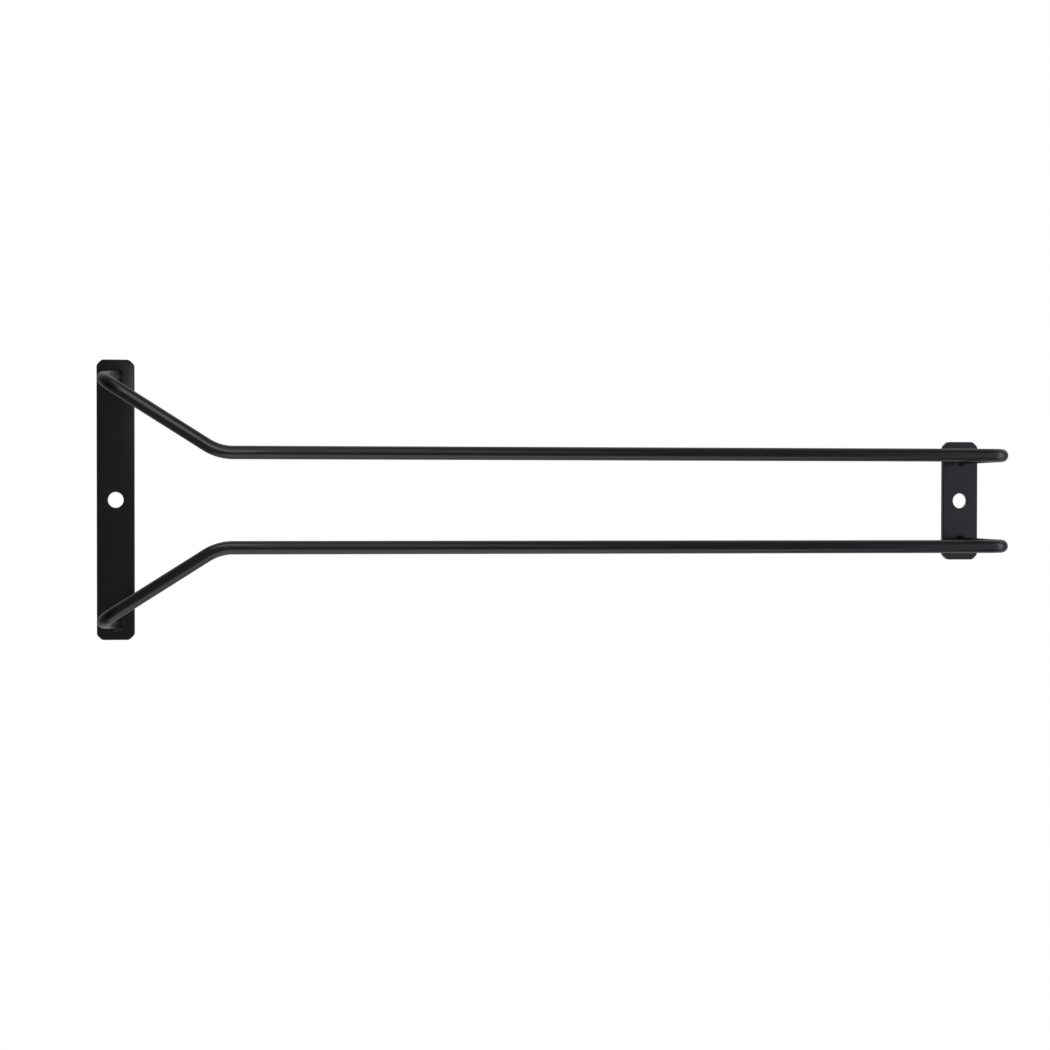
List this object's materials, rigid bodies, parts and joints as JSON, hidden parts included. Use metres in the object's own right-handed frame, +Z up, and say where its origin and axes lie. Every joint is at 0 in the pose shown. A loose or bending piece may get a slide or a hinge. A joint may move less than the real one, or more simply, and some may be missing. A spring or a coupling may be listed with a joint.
{
  "type": "hanging wine glass rack",
  "caption": "Under-shelf rack for hanging stemmed glasses: a pair of bent wire rails with a flared mouth, welded to flat screw plates at the front and the rear.",
  "frame": {"origin": "centre of the front plate's screw hole, on the face that lies against the shelf", "axes": "+Z up as the rack hangs, out of the face that meets the shelf; +X from the open mouth to the closed rear end; +Y to the left of someone who faces the mouth"},
  "size_m": [0.3564, 0.11, 0.06],
  "materials": {
    "rail_coat": "black powder coat, satin",
    "plate_coat": "black powder coat, satin",
    "weld_coat": "black powder coat over a weld bead, satin"
  },
  "bodies": {
    "root": {"front_plate": "plate_coat", "rear_plate": "plate_coat", "rail_left": "rail_coat", "rail_right": "rail_coat", "front_weld_left": "weld_coat", "front_weld_right": "weld_coat", "rear_weld_left": "weld_coat", "rear_weld_right": "weld_coat"}
  },
  "joints": []
}
